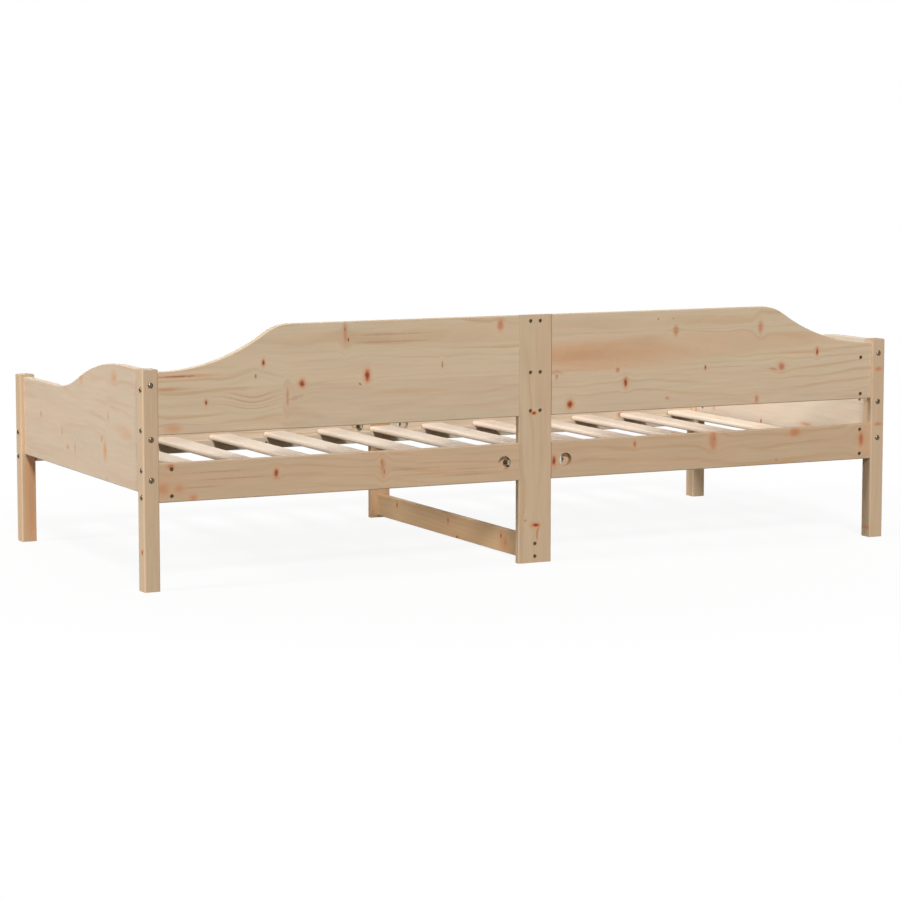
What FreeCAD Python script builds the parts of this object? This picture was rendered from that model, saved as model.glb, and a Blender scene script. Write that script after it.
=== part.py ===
import FreeCAD, Part
import os
from math import atan, cos, pi, sin

# Knock-down pine daybed frame for a 900 x 2000 mattress, in millimetres.
# X runs along the bed, +Y points to the tall back, +Z is up.
# The origin is on the floor, under the middle of the frame.

Vector = FreeCAD.Vector

# Overall sizes
CLEAR_LENGTH = 2000.0          # between the inner faces of the end posts
DEPTH = 950.0                  # front face of the front posts to rear face of the rear posts
POST_SIDE = 40.0
REAR_POST_HEIGHT = 526.0
FRONT_POST_HEIGHT = 440.0
BOARD = 18.0                   # thickness of every rail, panel, leg board and the stretcher
REAR_INSET = 5.0               # rear boards stand this far inside the posts' rear faces
FRONT_INSET = 10.0             # front rails stand this far inside the posts' front faces

# Rails, ledgers and slats
RAIL_BOTTOM = 210.0
RAIL_HEIGHT = 93.0
LEDGER_DEPTH = 20.0
LEDGER_HEIGHT = 28.0
LEDGER_RISE = 4.0              # ledger's underside above the rail's underside
LEDGER_END_GAP = 2.0           # between a ledger and the end post
LEDGER_MIDDLE_GAP = 1.0        # between the two ledgers of one side
SLAT_COUNT = 13
SLAT_WIDTH = 66.0
SLAT_THICKNESS = 14.0
SLAT_FIRST = 49.0              # middle of the first and last slats from the posts' inner faces
SLAT_END_GAP = 3.0             # between a slat's end and the rail

# Back panels: level beside the post, then a hollow and a round sweep up to the level top
BACK_BOTTOM = 370.0
BACK_TOP = 622.0
BACK_POST_STEP = 7.0           # low part of the panel's top below the rear post's top
BACK_SWEEP_MARGIN = 6.0        # level stretch beside the post
BACK_SWEEP_RUN = 334.0
BACK_HOLLOW_SHARE = 0.8        # share of the sweep's run that is the hollow lower arc

# End panels: level at the back, then a round and a hollow sweep down to the level front
END_RISE = 21.0                # panel's underside above the rails' underside
END_REAR_STEP = 2.0            # panel's top below the rear post's top
END_FRONT_STEP = 5.0           # panel's top below the front post's top
END_SWEEP_MARGIN = 142.0       # level stretch in front of the rear post
END_SWEEP_RUN = 476.0
END_ROUND_SHARE = 0.65         # share of the sweep's run that is the round upper arc

# Middle legs and stretcher
REAR_LEG_WIDTH = 92.0
FRONT_LEG_WIDTH = 58.0
STRETCHER_BOTTOM = 6.0
STRETCHER_HEIGHT = 60.0

# Softened edges
POST_ROUND = 4.0
POST_TOP_BEVEL = 2.0
BOARD_BEVEL = 1.8
SLAT_BEVEL = 4.5

# Flat sides of the small round pieces and of the holes that they sit in
POCKET_SIDES = 24              # tie-rod pockets and the washers in them
HEAD_SIDES = 12                # bolt heads and the mouths of the barrel-nut holes
NUT_SIDES = 8                  # barrel nuts and countersunk heads
SHANK_SIDES = 6                # shanks, tie rods, dowels, hexagon nuts and sockets

# Connector bolts and barrel nuts
BOLT_RADIUS = 3.0
BOLT_HEAD_RADIUS = 7.0
BOLT_HEAD_RIM = 1.2
BOLT_FLAT_RADIUS = 4.2         # flat middle of the bevelled head
BOLT_HEAD_HEIGHT = 2.8
SOCKET_ACROSS_FLATS = 4.0
SOCKET_DEPTH = 1.6
HOLE_CLEARANCE = 0.25          # radial, between a shank and its hole
BORE_SPARE = 3.0               # hole left past a shank's tip
THREAD_CLEARANCE = 0.1         # radial, between a shank and its thread
NUT_RADIUS = 4.8
NUT_LENGTH = 12.0
NUT_HOLE_CLEARANCE = 0.2
NUT_SETBACK = 32.5             # barrel nut's axis from the end of the piece that holds it
BOLT_TIP = 2.0                 # shank past the barrel nut
RAIL_BOLT_PITCH = 64.0         # centred on the rail's height
BACK_BOLT_RISE = 13.0          # lowest bolt above the back panel's underside
BACK_BOLT_DROP = 40.0          # second bolt below the low part of the back panel's top
BACK_TOP_BOLT_DROP = 15.0      # third bolt, at the middle leg only, below the back panel's top
END_BOLT_RISE = 34.0           # lowest bolt above the end panel's underside
END_BOLT_DROP = 74.0           # second bolt below the front part of the end panel's top
END_TOP_BOLT_DROP = 35.0       # third bolt, at the rear post only, below the end panel's top
HANGER_GRIP = 40.0             # hanger bolt's length inside the back panel

# Tie rods that clamp the rails to the middle legs, with their pockets
ROD_RADIUS = 3.0
POCKET_RADIUS = 17.0
POCKET_SETBACK = 40.0          # pocket's axis from the rail's end at the middle leg
WASHER_THICKNESS = 7.0
WASHER_WIDTH = 11.0
WASHER_CLEARANCE = 0.2
ROD_NUT_ACROSS_FLATS = 10.0
ROD_NUT_HEIGHT = 5.0
ROD_TIP = 3.0                  # rod past its nut
POCKET_FLOOR_CLEARANCE = 0.5   # between the rod nut's corners and the pocket's floor

# Wooden dowels between the rails and the middle legs
DOWEL_RADIUS = 4.0
DOWEL_LENGTH = 38.0
DOWEL_PITCH = 60.0             # centred on the rail's height
DOWEL_CLEARANCE = 0.1
DOWEL_END_GAP = 0.8

# Screws
SCREW_RADIUS = 3.5             # stretcher screws
SCREW_HEAD_RADIUS = 5.0
SCREW_HEAD_HEIGHT = 3.0
SCREW_GRIP = 42.0              # screw's length inside the stretcher
SCREW_RISE = 10.5              # lower screw above the stretcher's underside
SCREW_PITCH = 32.0
LEDGER_SCREW_RADIUS = 2.0
LEDGER_SCREW_HEAD_RADIUS = 4.0
LEDGER_SCREW_HEAD_HEIGHT = 2.5
LEDGER_SCREW_GRIP = 11.0       # screw's length inside the rail
LEDGER_SCREW_FIRST = 90.0      # from the bed's middle
LEDGER_SCREW_LAST = 130.0      # from the post's inner face
LEDGER_SCREW_COUNT = 4
SCREW_CLEARANCE = 0.1

# Places worked out from the sizes
POST_FACE = CLEAR_LENGTH / 2
OUTER_FACE = POST_FACE + POST_SIDE
REAR = DEPTH / 2
FRONT = -DEPTH / 2
REAR_OUT = REAR - REAR_INSET
REAR_IN = REAR_OUT - BOARD
REAR_MID = REAR_OUT - BOARD / 2
FRONT_OUT = FRONT + FRONT_INSET
FRONT_IN = FRONT_OUT + BOARD
FRONT_MID = FRONT_OUT + BOARD / 2
END_MID = POST_FACE + POST_SIDE / 2
END_REAR = REAR - POST_SIDE
END_FRONT = FRONT + POST_SIDE
RAIL_TOP = RAIL_BOTTOM + RAIL_HEIGHT
RAIL_MID = RAIL_BOTTOM + RAIL_HEIGHT / 2
LEDGER_BOTTOM = RAIL_BOTTOM + LEDGER_RISE
LEDGER_TOP = LEDGER_BOTTOM + LEDGER_HEIGHT
SLAT_PITCH = (CLEAR_LENGTH - 2 * SLAT_FIRST) / (SLAT_COUNT - 1)
BACK_LOW_TOP = REAR_POST_HEIGHT - BACK_POST_STEP
END_BOTTOM = RAIL_BOTTOM + END_RISE
END_REAR_TOP = REAR_POST_HEIGHT - END_REAR_STEP
END_FRONT_TOP = FRONT_POST_HEIGHT - END_FRONT_STEP
RAIL_BOLTS = [RAIL_MID - RAIL_BOLT_PITCH / 2, RAIL_MID + RAIL_BOLT_PITCH / 2]
BACK_BOLTS = [BACK_BOTTOM + BACK_BOLT_RISE, BACK_LOW_TOP - BACK_BOLT_DROP]
LEG_BOLTS = BACK_BOLTS + [BACK_TOP - BACK_TOP_BOLT_DROP]
END_FRONT_BOLTS = [END_BOTTOM + END_BOLT_RISE, END_FRONT_TOP - END_BOLT_DROP]
END_REAR_BOLTS = END_FRONT_BOLTS + [END_REAR_TOP - END_TOP_BOLT_DROP]
DOWELS = [RAIL_MID - DOWEL_PITCH / 2, RAIL_MID + DOWEL_PITCH / 2]
STRETCHER_SCREWS = [STRETCHER_BOTTOM + SCREW_RISE, STRETCHER_BOTTOM + SCREW_RISE + SCREW_PITCH]
LEDGER_SCREW_PITCH = (POST_FACE - LEDGER_SCREW_FIRST - LEDGER_SCREW_LAST) / (LEDGER_SCREW_COUNT - 1)
LEDGER_SCREWS = [LEDGER_SCREW_FIRST + step * LEDGER_SCREW_PITCH for step in range(LEDGER_SCREW_COUNT)]
LEDGER_SCREW_HEIGHT = LEDGER_BOTTOM + LEDGER_HEIGHT / 2
NUT_CENTRE = POST_FACE - NUT_SETBACK
BOLT_LENGTH = POST_SIDE + NUT_SETBACK + NUT_RADIUS + BOLT_TIP
BOLT_BITE = BOLT_LENGTH - POST_SIDE
NUT_HOLE_DEPTH = BOARD / 2 + NUT_LENGTH / 2 + NUT_HOLE_CLEARANCE
ROD_NUT_CORNER = ROD_NUT_ACROSS_FLATS / 2 / cos(pi / 6)
POCKET_DEPTH = BOARD / 2 + ROD_NUT_CORNER + POCKET_FLOOR_CLEARANCE

RIGHTWARD = Vector(1, 0, 0)
LEFTWARD = Vector(-1, 0, 0)
BACKWARD = Vector(0, 1, 0)
FORWARD = Vector(0, -1, 0)
UPWARD = Vector(0, 0, 1)


# Helpers

def block(low, high):
    size = high - low
    return Part.makeBox(size.x, size.y, size.z, low)


def faceted(points, sides):
    """A turned piece with flat sides: an outline of (along, radius) points, carried round the X axis."""
    def ring(point, step):
        turn = 2 * pi * step / sides
        return Vector(point[0], point[1] * cos(turn), point[1] * sin(turn))

    faces = []
    for one, two in zip(points, points[1:]):
        for step in range(sides):
            corners = [ring(one, step), ring(two, step), ring(two, step + 1), ring(one, step + 1)]
            if one[1] == 0:
                corners.pop()
            if two[1] == 0:
                corners.pop(1)
            faces.append(Part.Face(Part.makePolygon(corners + corners[:1])))
    return Part.makeSolid(Part.makeShell(faces)).removeSplitter()


def rod(radius, length, start, direction, sides=SHANK_SIDES):
    return stand(faceted([(0, 0), (0, radius), (length, radius), (length, 0)], sides), start, direction)


def bevel(solid, size, chosen):
    return solid.makeChamfer(size, [edge for edge in solid.Edges if chosen(edge)])


def along(axis):
    """Choose the straight edges that run along one axis."""
    def chosen(edge):
        ends = edge.Vertexes
        return len(ends) == 2 and abs((ends[1].Point - ends[0].Point).normalize().dot(axis)) > 0.999
    return chosen


def carve(solid, tools):
    return solid.cut(tools).Solids[0]


def mirror_left(shape):
    return shape.mirror(Vector(0, 0, 0), RIGHTWARD)


def turn_left(shape, pivot):
    """The same piece on the other side of the bed, turned half round an upright axis."""
    turned = shape.copy()
    turned.rotate(pivot, UPWARD, 180)
    return turned


def hex_bar(across_flats, length, start, direction):
    return rod(across_flats / 2 / cos(pi / 6), length, start, direction, 6)


def countersunk(head_radius, head_height, radius, length, sides):
    """A screw, or the hole for one, with its head at the origin."""
    return faceted([(0, 0), (0, head_radius), (head_height, radius), (length, radius), (length, 0)], sides)


def stand(shape, start, direction):
    """Turn a shape made along +X to a direction and put its origin at a point."""
    turned = shape.copy()
    turned.Placement = FreeCAD.Placement(start, FreeCAD.Rotation(RIGHTWARD, direction))
    return turned


def sweep(start, end, start_share, point):
    """Two tangent arcs that leave one level and reach another, each point given as (along, up)."""
    run = end[0] - start[0]
    turn = 2 * atan((end[1] - start[1]) / run)
    start_radius = start_share * run / sin(turn)
    end_radius = (1 - start_share) * run / sin(turn)

    def first(angle):
        return point(start[0] + start_radius * sin(angle), start[1] + start_radius * (1 - cos(angle)))

    def last(angle):
        return point(end[0] - end_radius * sin(angle), end[1] - end_radius * (1 - cos(angle)))

    return [Part.Arc(first(0), first(turn / 2), first(turn)).toShape(),
            Part.Arc(last(turn), last(turn / 2), last(0)).toShape()]


def chain(points):
    return [Part.LineSegment(one, two).toShape() for one, two in zip(points, points[1:])]


# Wooden pieces, the right-hand one where a piece has a mirrored twin

def make_post(front_face, height, bolt_heights, board_mid, board_bolts):
    low = Vector(POST_FACE, front_face, 0)
    high = Vector(OUTER_FACE, front_face + POST_SIDE, height)
    post = block(low, high)
    post = post.makeFillet(POST_ROUND, [edge for edge in post.Edges if along(UPWARD)(edge)])
    post = bevel(post, POST_TOP_BEVEL, lambda edge: edge.BoundBox.ZMin > height / 2)
    radius = BOLT_RADIUS + HOLE_CLEARANCE
    tools = [rod(radius, POST_SIDE, Vector(END_MID, front_face, z), BACKWARD) for z in bolt_heights]
    tools += [rod(radius, POST_SIDE, Vector(POST_FACE, board_mid, z), RIGHTWARD) for z in board_bolts]
    return carve(post, tools)


def nut_hole(mouth, direction):
    return rod(NUT_RADIUS + NUT_HOLE_CLEARANCE, NUT_HOLE_DEPTH, mouth, direction, HEAD_SIDES)


def bolt_bore(length, start, direction):
    return rod(BOLT_RADIUS + HOLE_CLEARANCE, length + BORE_SPARE, start, direction)


def make_end_panel():
    def point(y, z):
        return Vector(END_MID - BOARD / 2, y, z)

    sweep_start = (END_REAR - END_SWEEP_MARGIN, END_REAR_TOP)
    sweep_end = (END_REAR - END_SWEEP_MARGIN - END_SWEEP_RUN, END_FRONT_TOP)
    outline = chain([point(END_FRONT, END_FRONT_TOP), point(END_FRONT, END_BOTTOM),
                     point(END_REAR, END_BOTTOM), point(END_REAR, END_REAR_TOP), point(*sweep_start)])
    outline += sweep(sweep_start, sweep_end, END_ROUND_SHARE, point)
    outline += chain([point(*sweep_end), point(END_FRONT, END_FRONT_TOP)])
    panel = Part.Face(Part.Wire(outline)).extrude(RIGHTWARD * BOARD)
    panel = bevel(panel, BOARD_BEVEL, lambda edge: edge.BoundBox.YLength > BOARD)
    tools = []
    for heights, end, inward in ((END_REAR_BOLTS, END_REAR, FORWARD), (END_FRONT_BOLTS, END_FRONT, BACKWARD)):
        for z in heights:
            tools.append(bolt_bore(BOLT_BITE, Vector(END_MID, end, z), inward))
            nut = Vector(END_MID - BOARD / 2, end, z) + inward * NUT_SETBACK
            tools.append(nut_hole(nut, RIGHTWARD))
    return carve(panel, tools)


def make_back_panel():
    """The right-hand back panel, whose barrel-nut holes open towards the mattress."""
    def point(x, z):
        return Vector(x, REAR_IN, z)

    inner_end = REAR_LEG_WIDTH / 2
    sweep_start = (POST_FACE - BACK_SWEEP_MARGIN, BACK_LOW_TOP)
    sweep_end = (POST_FACE - BACK_SWEEP_MARGIN - BACK_SWEEP_RUN, BACK_TOP)
    outline = chain([point(inner_end, BACK_TOP), point(inner_end, BACK_BOTTOM),
                     point(POST_FACE, BACK_BOTTOM), point(POST_FACE, BACK_LOW_TOP), point(*sweep_start)])
    outline += sweep(sweep_start, sweep_end, BACK_HOLLOW_SHARE, point)
    outline += chain([point(*sweep_end), point(inner_end, BACK_TOP)])
    panel = Part.Face(Part.Wire(outline)).extrude(BACKWARD * BOARD)
    panel = bevel(panel, BOARD_BEVEL, lambda edge: edge.BoundBox.XLength > BACK_SWEEP_MARGIN / 2)
    tools = []
    for z in BACK_BOLTS:
        tools.append(bolt_bore(BOLT_BITE, Vector(POST_FACE, REAR_MID, z), LEFTWARD))
        tools.append(nut_hole(Vector(NUT_CENTRE, REAR_IN, z), BACKWARD))
    for z in LEG_BOLTS:
        tools.append(bolt_bore(HANGER_GRIP, Vector(inner_end, REAR_MID, z), RIGHTWARD))
    return carve(panel, tools)


def make_rail(out_face, in_face, leg_width, hardware_face):
    """One half of a side rail, from the middle leg to the post, with its holes on one face."""
    inner_end = leg_width / 2
    low = Vector(inner_end, min(out_face, in_face), RAIL_BOTTOM)
    high = Vector(POST_FACE, max(out_face, in_face), RAIL_TOP)
    rail = bevel(block(low, high), BOARD_BEVEL, along(RIGHTWARD))
    mid = (out_face + in_face) / 2
    into_rail = BACKWARD if hardware_face == low.y else FORWARD
    toward_rail = BACKWARD if out_face > in_face else FORWARD
    tools = []
    for z in RAIL_BOLTS:
        tools.append(bolt_bore(BOLT_BITE, Vector(POST_FACE, mid, z), LEFTWARD))
        tools.append(nut_hole(Vector(NUT_CENTRE, hardware_face, z), into_rail))
    pocket = Vector(inner_end + POCKET_SETBACK, hardware_face, RAIL_MID)
    tools.append(rod(POCKET_RADIUS, POCKET_DEPTH, pocket, into_rail, POCKET_SIDES))
    rod_bore = Vector(inner_end, mid, RAIL_MID)
    tools.append(rod(ROD_RADIUS + HOLE_CLEARANCE, POCKET_SETBACK, rod_bore, RIGHTWARD))
    tools += [dowel_hole(Vector(inner_end, mid, z), RIGHTWARD) for z in DOWELS]
    for x in LEDGER_SCREWS:
        start = Vector(x, in_face, LEDGER_SCREW_HEIGHT)
        tools.append(rod(LEDGER_SCREW_RADIUS + SCREW_CLEARANCE, LEDGER_SCREW_GRIP + SCREW_CLEARANCE,
                         start, toward_rail))
    return carve(rail, tools)


def dowel_hole(start, direction):
    return rod(DOWEL_RADIUS + DOWEL_CLEARANCE, DOWEL_LENGTH / 2 + DOWEL_END_GAP, start, direction)


def make_middle_leg(width, out_face, in_face, height, bolt_heights):
    low = Vector(-width / 2, min(out_face, in_face), 0)
    high = Vector(width / 2, max(out_face, in_face), height)
    leg = bevel(block(low, high), BOARD_BEVEL, along(UPWARD))
    mid = (out_face + in_face) / 2
    inward = FORWARD if out_face > in_face else BACKWARD
    tools = [rod(ROD_RADIUS + HOLE_CLEARANCE, width, Vector(-width / 2, mid, RAIL_MID), RIGHTWARD)]
    for side, direction in ((width / 2, LEFTWARD), (-width / 2, RIGHTWARD)):
        tools += [dowel_hole(Vector(side, mid, z), direction) for z in DOWELS]
        for z in bolt_heights:
            nut = Vector(side, out_face, z) + direction * NUT_SETBACK
            tools.append(nut_hole(nut, inward))
            bore = NUT_SETBACK + NUT_RADIUS + HOLE_CLEARANCE
            tools.append(rod(BOLT_RADIUS + HOLE_CLEARANCE, bore, Vector(side, mid, z), direction))
    screw = countersunk(SCREW_HEAD_RADIUS + SCREW_CLEARANCE, SCREW_HEAD_HEIGHT,
                        SCREW_RADIUS + SCREW_CLEARANCE, BOARD, NUT_SIDES)
    tools += [stand(screw, Vector(0, out_face, z), inward) for z in STRETCHER_SCREWS]
    return carve(leg, tools)


def make_stretcher():
    low = Vector(-BOARD / 2, FRONT_IN, STRETCHER_BOTTOM)
    high = Vector(BOARD / 2, REAR_IN, STRETCHER_BOTTOM + STRETCHER_HEIGHT)
    board = bevel(block(low, high), BOARD_BEVEL, along(BACKWARD))
    radius = SCREW_RADIUS + SCREW_CLEARANCE
    depth = SCREW_GRIP + SCREW_CLEARANCE
    tools = [rod(radius, depth, Vector(0, REAR_IN, z), FORWARD, NUT_SIDES) for z in STRETCHER_SCREWS]
    tools += [rod(radius, depth, Vector(0, FRONT_IN, z), BACKWARD, NUT_SIDES) for z in STRETCHER_SCREWS]
    return carve(board, tools)


def make_ledger(rail_face, inward):
    free_face = rail_face + inward.y * LEDGER_DEPTH
    low = Vector(LEDGER_MIDDLE_GAP / 2, min(rail_face, free_face), LEDGER_BOTTOM)
    high = Vector(POST_FACE - LEDGER_END_GAP, max(rail_face, free_face), LEDGER_TOP)
    ledger = block(low, high)
    hole = countersunk(LEDGER_SCREW_HEAD_RADIUS + SCREW_CLEARANCE, LEDGER_SCREW_HEAD_HEIGHT,
                       LEDGER_SCREW_RADIUS + SCREW_CLEARANCE, LEDGER_DEPTH, SHANK_SIDES)
    tools = [stand(hole, Vector(x, free_face, LEDGER_SCREW_HEIGHT), inward * -1) for x in LEDGER_SCREWS]
    return carve(ledger, tools)


def make_slat(index):
    middle = (index - (SLAT_COUNT - 1) / 2) * SLAT_PITCH
    low = Vector(middle - SLAT_WIDTH / 2, FRONT_IN + SLAT_END_GAP, LEDGER_TOP)
    high = Vector(middle + SLAT_WIDTH / 2, REAR_IN - SLAT_END_GAP, LEDGER_TOP + SLAT_THICKNESS)
    return bevel(block(low, high), SLAT_BEVEL, along(BACKWARD))


# Metal and dowels, each made along +X from the face that it enters

def make_bolt():
    head = faceted([(0, 0), (0, BOLT_HEAD_RADIUS), (-BOLT_HEAD_RIM, BOLT_HEAD_RADIUS),
                    (-BOLT_HEAD_HEIGHT, BOLT_FLAT_RADIUS), (-BOLT_HEAD_HEIGHT, 0)], HEAD_SIDES)
    shank = rod(BOLT_RADIUS, BOLT_LENGTH, Vector(0, 0, 0), RIGHTWARD)
    socket = hex_bar(SOCKET_ACROSS_FLATS, SOCKET_DEPTH, Vector(-BOLT_HEAD_HEIGHT, 0, 0), RIGHTWARD)
    return carve(head.fuse(shank), [socket])


def make_barrel_nut(bolt_axis):
    """Barrel nut along +X, half its length past the origin, with a thread along bolt_axis."""
    body = rod(NUT_RADIUS, NUT_LENGTH, Vector(-NUT_LENGTH / 2, 0, 0), RIGHTWARD, NUT_SIDES)
    thread = rod(BOLT_RADIUS + THREAD_CLEARANCE, NUT_RADIUS * 2, bolt_axis * -NUT_RADIUS, bolt_axis)
    return carve(body, [thread])


def make_stretcher_screw():
    return countersunk(SCREW_HEAD_RADIUS, SCREW_HEAD_HEIGHT, SCREW_RADIUS, BOARD + SCREW_GRIP, NUT_SIDES)


def make_ledger_screw():
    return countersunk(LEDGER_SCREW_HEAD_RADIUS, LEDGER_SCREW_HEAD_HEIGHT, LEDGER_SCREW_RADIUS,
                       LEDGER_DEPTH + LEDGER_SCREW_GRIP, SHANK_SIDES)


def both_sides(solids):
    return solids + [mirror_left(solid) for solid in solids]


def group(solids):
    return Part.Compound(solids)


def end_panel_bolts():
    bolt = make_bolt()
    rear = [stand(bolt, Vector(END_MID, REAR, z), FORWARD) for z in END_REAR_BOLTS]
    front = [stand(bolt, Vector(END_MID, FRONT, z), BACKWARD) for z in END_FRONT_BOLTS]
    return group(both_sides(rear + front))


def end_panel_nuts():
    nut = make_barrel_nut(BACKWARD)
    rear = [stand(nut, Vector(END_MID, END_REAR - NUT_SETBACK, z), RIGHTWARD) for z in END_REAR_BOLTS]
    front = [stand(nut, Vector(END_MID, END_FRONT + NUT_SETBACK, z), RIGHTWARD) for z in END_FRONT_BOLTS]
    return group(both_sides(rear + front))


def post_bolts(board_mid, heights):
    bolt = make_bolt()
    return group(both_sides([stand(bolt, Vector(OUTER_FACE, board_mid, z), LEFTWARD) for z in heights]))


def board_nuts(board_mid, heights, x, into_board):
    """Barrel nuts whose bolts run along X."""
    nut = make_barrel_nut(BACKWARD)
    return group(both_sides([stand(nut, Vector(x, board_mid, z), into_board) for z in heights]))


def hanger_bolts():
    nut_place = REAR_LEG_WIDTH / 2 - NUT_SETBACK
    length = NUT_SETBACK + NUT_RADIUS + HANGER_GRIP
    start = nut_place - NUT_RADIUS
    bolts = [rod(BOLT_RADIUS, length, Vector(start, REAR_MID, z), RIGHTWARD) for z in LEG_BOLTS]
    return group(both_sides(bolts))


def pocket_centre(leg_width):
    return leg_width / 2 + POCKET_SETBACK


def nut_seat(leg_width):
    return pocket_centre(leg_width) - POCKET_RADIUS + WASHER_CLEARANCE + WASHER_THICKNESS


def tie_rod(leg_width, board_mid):
    half = nut_seat(leg_width) + ROD_NUT_HEIGHT + ROD_TIP
    return rod(ROD_RADIUS, half * 2, Vector(-half, board_mid, RAIL_MID), RIGHTWARD)


def half_moon_washer(leg_width, board_mid):
    """A slice of a disc that fills the pocket's wall on the side of the leg."""
    radius = POCKET_RADIUS - WASHER_CLEARANCE
    start = Vector(pocket_centre(leg_width), board_mid - WASHER_WIDTH / 2, RAIL_MID)
    disc = rod(radius, WASHER_WIDTH, start, BACKWARD, POCKET_SIDES)
    seat = nut_seat(leg_width)
    low = Vector(seat - WASHER_THICKNESS, start.y, RAIL_MID - radius)
    slice_box = block(low, Vector(seat, start.y + WASHER_WIDTH, RAIL_MID + radius))
    hole = rod(ROD_RADIUS + HOLE_CLEARANCE, WASHER_THICKNESS, Vector(low.x, board_mid, RAIL_MID), RIGHTWARD)
    return carve(disc.common(slice_box).Solids[0], [hole])


def rod_nut(leg_width, board_mid):
    start = Vector(nut_seat(leg_width), board_mid, RAIL_MID)
    body = hex_bar(ROD_NUT_ACROSS_FLATS, ROD_NUT_HEIGHT, start, RIGHTWARD)
    return carve(body, [rod(ROD_RADIUS + THREAD_CLEARANCE, ROD_NUT_HEIGHT, start, RIGHTWARD)])


def rail_dowels():
    dowels = []
    for leg_width, board_mid in ((REAR_LEG_WIDTH, REAR_MID), (FRONT_LEG_WIDTH, FRONT_MID)):
        start = leg_width / 2 - DOWEL_LENGTH / 2
        dowels += [rod(DOWEL_RADIUS, DOWEL_LENGTH, Vector(start, board_mid, z), RIGHTWARD) for z in DOWELS]
    return group(both_sides(dowels))


def stretcher_screws():
    screw = make_stretcher_screw()
    rear = [stand(screw, Vector(0, REAR_OUT, z), FORWARD) for z in STRETCHER_SCREWS]
    front = [stand(screw, Vector(0, FRONT_OUT, z), BACKWARD) for z in STRETCHER_SCREWS]
    return group(rear + front)


def ledger_screws():
    screw = make_ledger_screw()
    screws = []
    for x in LEDGER_SCREWS:
        screws.append(stand(screw, Vector(x, REAR_IN - LEDGER_DEPTH, LEDGER_SCREW_HEIGHT), BACKWARD))
        screws.append(stand(screw, Vector(x, FRONT_IN + LEDGER_DEPTH, LEDGER_SCREW_HEIGHT), FORWARD))
    return group(both_sides(screws))


# The whole frame, node by node

nodes = {
    "rear_middle_leg": make_middle_leg(REAR_LEG_WIDTH, REAR_OUT, REAR_IN, BACK_TOP, LEG_BOLTS),
    "front_middle_leg": make_middle_leg(FRONT_LEG_WIDTH, FRONT_OUT, FRONT_IN, RAIL_TOP, []),
    "centre_stretcher": make_stretcher(),
    "end_panel_bolts": end_panel_bolts(),
    "end_panel_barrel_nuts": end_panel_nuts(),
    "rear_rail_bolts": post_bolts(REAR_MID, RAIL_BOLTS),
    "rear_rail_barrel_nuts": board_nuts(REAR_MID, RAIL_BOLTS, NUT_CENTRE, FORWARD),
    "front_rail_bolts": post_bolts(FRONT_MID, RAIL_BOLTS),
    "front_rail_barrel_nuts": board_nuts(FRONT_MID, RAIL_BOLTS, NUT_CENTRE, FORWARD),
    "back_panel_bolts": post_bolts(REAR_MID, BACK_BOLTS),
    "back_panel_barrel_nuts": board_nuts(REAR_MID, BACK_BOLTS, NUT_CENTRE, FORWARD),
    "middle_leg_barrel_nuts": board_nuts(REAR_MID, LEG_BOLTS, REAR_LEG_WIDTH / 2 - NUT_SETBACK, FORWARD),
    "hanger_bolts": hanger_bolts(),
    "rear_tie_rod": tie_rod(REAR_LEG_WIDTH, REAR_MID),
    "front_tie_rod": tie_rod(FRONT_LEG_WIDTH, FRONT_MID),
    "half_moon_washers": group(both_sides([half_moon_washer(REAR_LEG_WIDTH, REAR_MID),
                                           half_moon_washer(FRONT_LEG_WIDTH, FRONT_MID)])),
    "tie_rod_nuts": group(both_sides([rod_nut(REAR_LEG_WIDTH, REAR_MID),
                                      rod_nut(FRONT_LEG_WIDTH, FRONT_MID)])),
    "rail_dowels": rail_dowels(),
    "stretcher_screws": stretcher_screws(),
    "ledger_screws": ledger_screws(),
}

right_hand = {
    "rear_post": make_post(END_REAR, REAR_POST_HEIGHT, END_REAR_BOLTS, REAR_MID, RAIL_BOLTS + BACK_BOLTS),
    "front_post": make_post(FRONT, FRONT_POST_HEIGHT, END_FRONT_BOLTS, FRONT_MID, RAIL_BOLTS),
    "end_panel": make_end_panel(),
    "rear_rail": make_rail(REAR_OUT, REAR_IN, REAR_LEG_WIDTH, REAR_OUT),
    "front_rail": make_rail(FRONT_OUT, FRONT_IN, FRONT_LEG_WIDTH, FRONT_IN),
    "rear_ledger": make_ledger(REAR_IN, FORWARD),
    "front_ledger": make_ledger(FRONT_IN, BACKWARD),
}
for name, shape in right_hand.items():
    nodes[name + "_right"] = shape
    nodes[name + "_left"] = mirror_left(shape)

# The back panels are one part used twice, so the left one is turned round and shows its nuts at the back
nodes["back_panel_right"] = make_back_panel()
nodes["back_panel_left"] = turn_left(nodes["back_panel_right"], Vector(0, REAR_MID, 0))

for index in range(SLAT_COUNT):
    nodes["slat_%02d" % (index + 1)] = make_slat(index)

os.makedirs("parts", exist_ok=True)
for name, shape in nodes.items():
    shape.exportStep("parts/%s.step" % name)
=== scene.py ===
import math

import bmesh
import bpy
from mathutils import Matrix, Vector


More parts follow.
